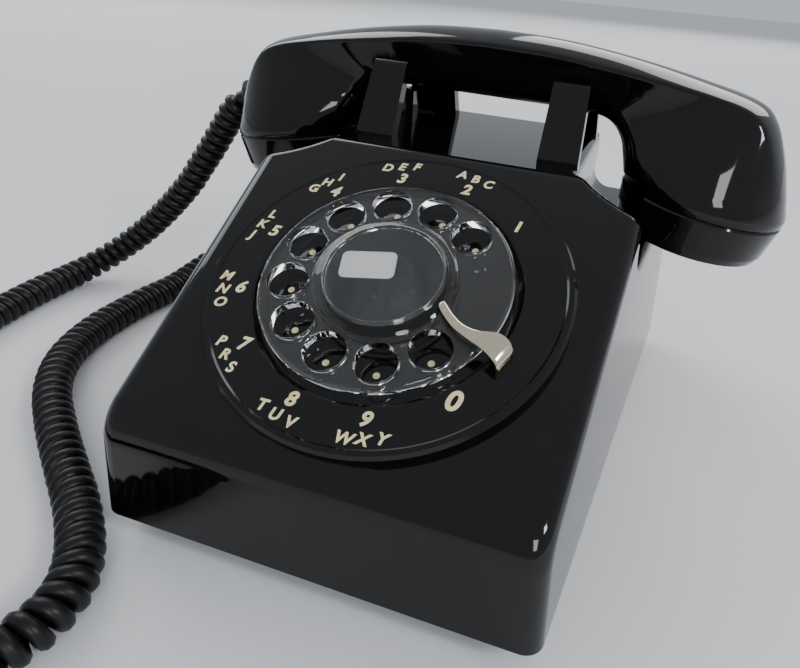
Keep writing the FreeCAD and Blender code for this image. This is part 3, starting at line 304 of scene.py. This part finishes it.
# ---------------------------------------------------------------- small mesh helpers

def add_mesh(name, vertices, faces, material):
    """A smooth-shaded piece made of these points and faces."""
    mesh = bpy.data.meshes.new(name)
    mesh.from_pydata([tuple(v) for v in vertices], [], faces)
    mesh.materials.append(material)
    mesh.polygons.foreach_set("use_smooth", [True] * len(mesh.polygons))
    mesh.update()
    piece = bpy.data.objects.new(name, mesh)
    bpy.context.collection.objects.link(piece)
    return piece


def on_dial(x, y, z=0.0):
    """A point in the dial's own frame, x to the right and y up the slope, as a point in the row frame."""
    turn = Matrix.Rotation(DIAL_SLOPE, 3, "X")
    return DIAL_CENTRE + turn @ Vector((x, y, z))


def polar(r, degrees):
    return r * math.cos(math.radians(degrees)), r * math.sin(math.radians(degrees))


def round_edges(piece, width, segments, degrees):
    """A bevel on every edge that is sharper than this."""
    edge = piece.modifiers.new("edge", "BEVEL")
    edge.width = width
    edge.segments = segments
    edge.limit_method = "ANGLE"
    edge.angle_limit = math.radians(degrees)


# ---------------------------------------------------------------- dial print

def character(text, r, degrees, size):
    """One upright character on the ring, printed a hair's breadth proud of the plate."""
    font = bpy.data.curves.new("ink_" + text, "FONT")
    font.body = text
    font.size = size
    font.shear = INK_SLANT
    font.offset = INK_BOLD * size
    font.extrude = INK_HEIGHT
    font.align_x = "CENTER"
    font.align_y = "CENTER"
    font.resolution_u = 6
    lettering = bpy.data.objects.new("ink_" + text, font)
    bpy.context.collection.objects.link(lettering)
    x, y = polar(r, degrees)
    lettering.matrix_world = Matrix.Translation(on_dial(x, y)) @ Matrix.Rotation(DIAL_SLOPE, 4, "X")
    bpy.context.view_layer.update()
    depsgraph = bpy.context.evaluated_depsgraph_get()
    mesh = bpy.data.meshes.new_from_object(lettering.evaluated_get(depsgraph))
    mesh.transform(lettering.matrix_world)
    bpy.data.objects.remove(lettering)
    return mesh


def merged(name, meshes, material, body):
    """The meshes as one piece that rides on a body."""
    whole = bmesh.new()
    for mesh in meshes:
        whole.from_mesh(mesh)
        bpy.data.meshes.remove(mesh)
    mesh = bpy.data.meshes.new(name)
    whole.to_mesh(mesh)
    whole.free()
    mesh.materials.clear()
    mesh.materials.append(material)
    piece = bpy.data.objects.new(name, mesh)
    bpy.context.collection.objects.link(piece)
    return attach(piece, body)


DIGIT_PLACES = [("1", 44.5), ("2", 75.0), ("3", 104.5), ("4", 134.0), ("5", 166.0),
                ("6", 196.5), ("7", 224.0), ("8", 256.0), ("9", 284.0)]
# Each group's letters, where its middle letter stands, and which way round the ring it is read
LETTER_GROUPS = [("ABC", 75.0, -1), ("DEF", 105.0, -1), ("GHI", 135.0, -1), ("JKL", 165.5, -1),
                 ("MNO", 197.0, 1), ("PRS", 225.0, 1), ("TUV", 255.0, 1), ("WXY", 284.0, 1)]


def dial_characters():
    """Digits, and the usual letter groups outside them."""
    meshes = [character(text, DIGIT_R, at, DIGIT_SIZE) for text, at in DIGIT_PLACES]
    meshes.append(character("0", DIGIT_R, ZERO_AT, ZERO_SIZE))
    for group, middle, way in LETTER_GROUPS:
        for i, letter in enumerate(group):
            at = middle + way * (i - 1) * LETTER_STEP
            meshes.append(character(letter, LETTER_R, at, LETTER_SIZE))
    merged("dial_characters", meshes, CREAM, "base")


def plate(name, corners, z, height):
    """A thin closed plate on the dial with this outline."""
    n = len(corners)
    vertices = [on_dial(x, y, z) for x, y in corners] + [on_dial(x, y, z + height) for x, y in corners]
    faces = [tuple(range(n - 1, -1, -1)), tuple(range(n, 2 * n))]
    faces += [(i, (i + 1) % n, n + (i + 1) % n, n + i) for i in range(n)]
    mesh = bpy.data.meshes.new(name)
    mesh.from_pydata(vertices, [], faces)
    return mesh


def disc(name, r, middle, z, height, steps=24):
    """A thin printed disc on the dial, closed on all sides."""
    corners = []
    for i in range(steps):
        a = 2 * math.pi * i / steps
        corners.append((middle[0] + r * math.cos(a), middle[1] + r * math.sin(a)))
    return plate(name, corners, z, height)


def well_dots():
    """Aiming dots under the finger holes."""
    dots = []
    for k in range(DOTS):
        middle = polar(DOT_R, DOT_FIRST + DOT_STEP * k)
        dots.append(disc("dot", DOT_SIZE, middle, -WELL_DEPTH, INK_HEIGHT))
    merged("well_dots", dots, CREAM, "base")


def rounded_rectangle(x0, x1, y0, y1, r, steps=8):
    """Outline of the rectangle, anticlockwise from its right side."""
    middles = [(x1 - r, y1 - r, 0), (x0 + r, y1 - r, 90), (x0 + r, y0 + r, 180), (x1 - r, y0 + r, 270)]
    corners = []
    for cx, cy, first in middles:
        for i in range(steps + 1):
            dx, dy = polar(r, first + 90.0 * i / steps)
            corners.append((cx + dx, cy + dy))
    return corners


def card_window():
    """The blank white field for the number."""
    turn = Matrix.Rotation(WINDOW_TURN, 2)
    outline = [turn @ Vector(corner) for corner in rounded_rectangle(*WINDOW, WINDOW_CORNER_R)]
    window = plate("window", outline, CARD_HEIGHT, WINDOW_HEIGHT)
    merged("card_window", [window], WHITE, "dial_rotor")


# ---------------------------------------------------------------- finger stop and wheel

def between(p, q, r, s, t):
    """The value at share t of the way from q to r, on a smooth run p, q, r, s."""
    square = (2 * p - 5 * q + 4 * r - s) * t ** 2
    cube = (3 * q - p - 3 * r + s) * t ** 3
    return 0.5 * (2 * q + (r - p) * t + square + cube)


def eased(rows, steps):
    """A smooth run through these rows of numbers, the same number of steps between each pair."""
    out = []
    last = len(rows) - 1
    for k in range(last):
        a, b, c, d = (rows[min(max(i, 0), last)] for i in (k - 1, k, k + 1, k + 2))
        for i in range(steps):
            t = i / steps
            out.append([between(p, q, r, s, t) for p, q, r, s in zip(a, b, c, d)])
    return out + [list(rows[-1])]


STOP_ACROSS = 7           # points across the strip
STOP_STEPS = 6            # steps between two rows of its rails
STOP_CROWN = 0.22         # millimetres that its middle stands above its rails
STOP_THICKNESS = 0.0008   # metres, as the edge
STOP_EDGE = 0.00022
STOP_RAILS = [  # millimetres on the dial: one rail x, y, then the other, then their height
    (20.45, -6.45, 20.30, -7.25, 5.20), (20.90, -6.20, 20.55, -8.00, 5.22), (23.6, -9.0, 22.4, -10.1, 5.25),
    (27.0, -11.6, 25.4, -12.9, 5.28), (30.0, -12.8, 28.7, -14.9, 5.3), (33.0, -13.1, 31.7, -16.4, 5.3),
    (35.7, -12.6, 34.6, -17.7, 5.3), (38.7, -12.3, 37.0, -19.1, 5.28), (41.2, -13.2, 38.7, -20.3, 4.95),
    (42.4, -14.4, 39.7, -21.0, 4.2), (43.0, -15.4, 40.3, -21.7, 2.9), (43.0, -15.4, 40.3, -21.7, 1.0),
    (43.0, -15.4, 40.3, -21.7, -1.2), (43.0, -15.4, 40.3, -21.7, -6.6),
]


def finger_stop():
    """Polished hook over the wheel; it folds down through the plate in one soft bend."""
    n = STOP_ACROSS
    vertices = []
    rows = eased(STOP_RAILS, STOP_STEPS)
    for ax, ay, bx, by, z in rows:
        for i in range(n):
            t = i / (n - 1)
            x = ax + (bx - ax) * t
            y = ay + (by - ay) * t
            crown = STOP_CROWN * (4 * t * (1 - t))
            vertices.append(on_dial(MM * x, MM * y, MM * (z - STOP_CROWN + crown)))
    faces = [(r * n + i, r * n + i + 1, (r + 1) * n + i + 1, (r + 1) * n + i)
             for r in range(len(rows) - 1) for i in range(n - 1)]
    stop = add_mesh("stop_strip", vertices, faces, MATERIALS["stop_metal"])
    solid = stop.modifiers.new("strip", "SOLIDIFY")
    solid.thickness = STOP_THICKNESS
    solid.offset = 1.0
    round_edges(stop, STOP_EDGE, 2, 50.0)
    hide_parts("finger_stop")
    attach(stop, "base")


def soft_wheel_edges():
    """Polished round edges on the clear wheel and its holes."""
    wheel = NODES["finger_wheel"]
    weld = wheel.modifiers.new("joined", "WELD")
    weld.merge_threshold = WHEEL_WELD
    round_edges(wheel, WHEEL_EDGE, 3, 30.0)


# ---------------------------------------------------------------- handset

# Millimetres, in the handset's own frame; the first three say how it lies on the cradle
HAND_YAW = math.radians(-4.2)
HAND_DX = 1.2
HAND_Y = 52.0
CUP = Vector((89.2, 94.7))       # middle of the seam between cup and cap, x and z
CUP_R = 31.0
CUP_TILT = math.radians(8.0)
CUP_RINGS = [  # down the cup's rim and into it: how far inside CUP_R, and height over the seam
    (0.0, 3.2), (0.0, 0.6), (0.3, 0.15), (0.7, 0.0), (3.0, 0.0), (3.0, 2.0), (5.0, 2.0), (5.0, 11.0),
]
CROWN_H = 4.5                    # height of the rounded top of a section
BOTTOM_R = 7.0                   # rounding of its underside
RIDGE_SOFT = 1.5                 # softness of the ridge between wall and top
ROUND_STEPS = 112
STATION_STEPS = 9
STATIONS = [  # inner x, z, outer x, z, half width at the ridges and below, share of the cup's ellipse
    (0.0, 120.5, 0.0, 145.1, 16.2, 10.0, 0.0), (20.0, 120.5, 20.0, 144.53, 16.2, 10.0, 0.0),
    (36.0, 120.45, 36.0, 143.25, 16.2, 10.0, 0.0), (45.5, 119.5, 58.0, 140.3, 16.2, 10.0, 0.0),
    (51.0, 117.0, 80.0, 136.3, 16.2, 12.0, 0.05), (54.6, 112.6, 98.6, 132.0, 16.3, 14.2, 0.15),
    (56.1, 108.6, 106.6, 126.6, 17.2, 17.4, 0.36), (57.2, 104.6, 113.2, 114.6, 18.0, 19.6, 0.66),
    (57.9, 101.6, 117.6, 102.4, 18.2, 20.4, 0.90),
]


def lower_of(a, b, soft):
    """The lower of two values, eased where they are close."""
    h = max(soft - abs(a - b), 0.0) / soft
    return min(a, b) - h * h * soft / 4


def section(row):
    """One closed section of the handset between its inner and outer points."""
    ax, az, bx, bz, ridge, low, share = row
    a = Vector((ax, az))
    b = Vector((bx, bz))
    length = (b - a).length
    up = (b - a).normalized()
    ring = []
    for i in range(ROUND_STEPS):
        theta = 2 * math.pi * i / ROUND_STEPS
        v = length / 2 * (1 - math.cos(theta))
        oval = CUP_R * abs(math.sin(theta))
        wall = low + (ridge - low) * min(1.0, v / (length - CROWN_H))
        if v < BOTTOM_R:
            wall *= math.sqrt(max(0.0, 1 - ((BOTTOM_R - v) / BOTTOM_R) ** 2))
        crown = ridge * math.sqrt(max(0.0, (length - v) / CROWN_H))
        body = lower_of(wall, crown, RIDGE_SOFT) if v > length / 2 else wall
        half = share * oval + (1 - share) * max(0.0, body)
        place = a + up * v
        ring.append(Vector((place.x, half if theta <= math.pi else -half, place.y)))
    return ring


def cup_ring(r, height):
    """A circle in the cup's own frame, in step with the sections."""
    out = Vector((math.cos(CUP_TILT), -math.sin(CUP_TILT)))
    up = Vector((math.sin(CUP_TILT), math.cos(CUP_TILT)))
    ring = []
    for i in range(ROUND_STEPS):
        theta = 2 * math.pi * i / ROUND_STEPS
        place = CUP - out * (r * math.cos(theta)) + up * height
        ring.append(Vector((place.x, r * math.sin(theta), place.y)))
    return ring


def on_cradle(p):
    """From the handset's own frame in millimetres to the way it lies, in metres."""
    turned = Matrix.Rotation(HAND_YAW, 3, "Z") @ p
    return Vector((MM * (turned.x + HAND_DX), MM * (turned.y + HAND_Y), MM * turned.z))


def handset():
    """The moulded handle with its two hollow cups, as one smooth skin."""
    right = [section(row) for row in eased(STATIONS, STATION_STEPS)]
    right += [cup_ring(CUP_R - inset, height) for inset, height in CUP_RINGS]
    left = [[Vector((-p.x, p.y, p.z)) for p in ring] for ring in right[:0:-1]]
    rings = left + right
    n = ROUND_STEPS
    vertices = [on_cradle(p) for ring in rings for p in ring]
    faces = [(r * n + i, r * n + (i + 1) % n, (r + 1) * n + (i + 1) % n, (r + 1) * n + i)
             for r in range(len(rings) - 1) for i in range(n)]
    faces.append(tuple(range(n - 1, -1, -1)))
    faces.append(tuple(range((len(rings) - 1) * n, len(rings) * n)))
    skin = add_mesh("handset_skin", vertices, faces, MATERIALS["handset_black"])
    whole = bmesh.new()
    whole.from_mesh(skin.data)
    bmesh.ops.recalc_face_normals(whole, faces=whole.faces)
    whole.to_mesh(skin.data)
    whole.free()
    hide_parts("handle_shell")
    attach(skin, "handset")


# ---------------------------------------------------------------- cord

def route_line():
    """The cord's centreline, read from its NURBS route."""
    curve = bpy.data.curves.new("cord_route", "CURVE")
    curve.dimensions = "3D"
    curve.resolution_u = 12
    spline = curve.splines.new("NURBS")
    spline.points.add(len(ROUTE) - 1)
    for point, place in zip(spline.points, ROUTE):
        point.co = (*place, 1.0)
    spline.order_u = 3
    spline.use_endpoint_u = True
    holder = bpy.data.objects.new("cord_route", curve)
    bpy.context.collection.objects.link(holder)
    depsgraph = bpy.context.evaluated_depsgraph_get()
    mesh = bpy.data.meshes.new_from_object(holder.evaluated_get(depsgraph))
    line = [v.co.copy() for v in mesh.vertices]
    bpy.data.objects.remove(holder)
    bpy.data.meshes.remove(mesh)
    return line


def directions(points):
    """The direction of the line at each of its points."""
    last = len(points) - 1
    return [(points[min(i + 1, last)] - points[max(i - 1, 0)]).normalized() for i in range(last + 1)]


def evenly(line, count):
    """The line as this many equal steps."""
    lengths = [0.0]
    for a, b in zip(line, line[1:]):
        lengths.append(lengths[-1] + (b - a).length)
    points = []
    k = 0
    for i in range(count + 1):
        s = lengths[-1] * i / count
        while k < len(line) - 2 and lengths[k + 1] < s:
            k += 1
        share = (s - lengths[k]) / (lengths[k + 1] - lengths[k])
        points.append(line[k].lerp(line[k + 1], share))
    return points


def carried_frames(points):
    """A pair of directions square to the line at each point, carried along without twisting."""
    ways = directions(points)
    side = ways[0].cross(Vector((0, 0, 1))).normalized()
    out = []
    for way in ways:
        side = (side - way * side.dot(way)).normalized()
        out.append((side, way.cross(side)))
    return out


def helix(line):
    """The wire's centre round the line; the coil closes to the line at both ends."""
    count = TURNS * TURN_STEPS
    points = evenly(line, count)
    wire = []
    for i, (p, (side, up)) in enumerate(zip(points, carried_frames(points))):
        a = 2 * math.pi * i / TURN_STEPS
        end = min(i, count - i) / (CLOSING_TURNS * TURN_STEPS)
        r = TURN_R * min(1.0, CLOSED_SHARE + (1 - CLOSED_SHARE) * end)
        wire.append(p + r * (side * math.cos(a) + up * math.sin(a)))
    return wire


def tube(points, r, sides):
    """A closed round tube along these points."""
    vertices = []
    for p, (side, up) in zip(points, carried_frames(points)):
        for k in range(sides):
            a = 2 * math.pi * k / sides
            vertices.append(p + r * (side * math.cos(a) + up * math.sin(a)))
    faces = []
    for i in range(len(points) - 1):
        for k in range(sides):
            n = (k + 1) % sides
            faces.append((i * sides + k, i * sides + n, (i + 1) * sides + n, (i + 1) * sides + k))
    last = (len(points) - 1) * sides
    faces.append(tuple(range(sides - 1, -1, -1)))
    faces.append(tuple(range(last, last + sides)))
    return vertices, faces


def curly_cord():
    """The coiled wire from the handset's cup round the table to the base."""
    wire = helix(route_line())
    vertices, faces = tube(wire, WIRE_R, WIRE_SIDES)
    cord = add_mesh("curly_cord", vertices, faces, MATERIALS["cord_black"])
    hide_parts("handset_cord")
    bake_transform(cord)


# ---------------------------------------------------------------- floor, light, camera

def stage():
    look = Look("pale_floor")
    look.ramp(look.noise(3.0, 4.0), [(0.3, (0.74, 0.74, 0.75)), (0.7, (0.79, 0.79, 0.80))], "Base Color")
    look.set(Roughness=0.85)
    mesh = bpy.data.meshes.new("floor")
    h = FLOOR_HALF
    mesh.from_pydata([(-h, -h, 0), (h, -h, 0), (h, h, 0), (-h, h, 0)], [], [(0, 1, 2, 3)])
    mesh.materials.append(look.material)
    floor = bpy.data.objects.new("floor", mesh)
    bpy.context.collection.objects.link(floor)


def area_light(name, place, target, size, power, tone):
    light = bpy.data.lights.new(name, "AREA")
    light.shape = "RECTANGLE"
    light.size, light.size_y = size
    light.energy = power
    light.color = tone
    lamp = bpy.data.objects.new(name, light)
    lamp.location = place
    lamp.rotation_euler = (Vector(target) - Vector(place)).to_track_quat("-Z", "Y").to_euler()
    bpy.context.collection.objects.link(lamp)


def lights():
    world = bpy.data.worlds.new("room")
    world.use_nodes = True
    background = world.node_tree.nodes["Background"]
    background.inputs["Color"].default_value = SKY
    background.inputs["Strength"].default_value = SKY_STRENGTH
    bpy.context.scene.world = world
    for window in WINDOWS:
        area_light(*window)


def camera():
    data = bpy.data.cameras.new("camera")
    data.sensor_width = SENSOR
    data.lens = LENS
    data.shift_x, data.shift_y = LENS_SHIFT
    data.clip_start = NEAR_CLIP
    eye = bpy.data.objects.new("camera", data)
    eye.location = EYE
    eye.rotation_euler = EYE_TURN
    bpy.context.collection.objects.link(eye)
    bpy.context.scene.camera = eye


paint_nodes()
dial_characters()
well_dots()
card_window()
finger_stop()
soft_wheel_edges()
handset()
curly_cord()
stage()
lights()
camera()
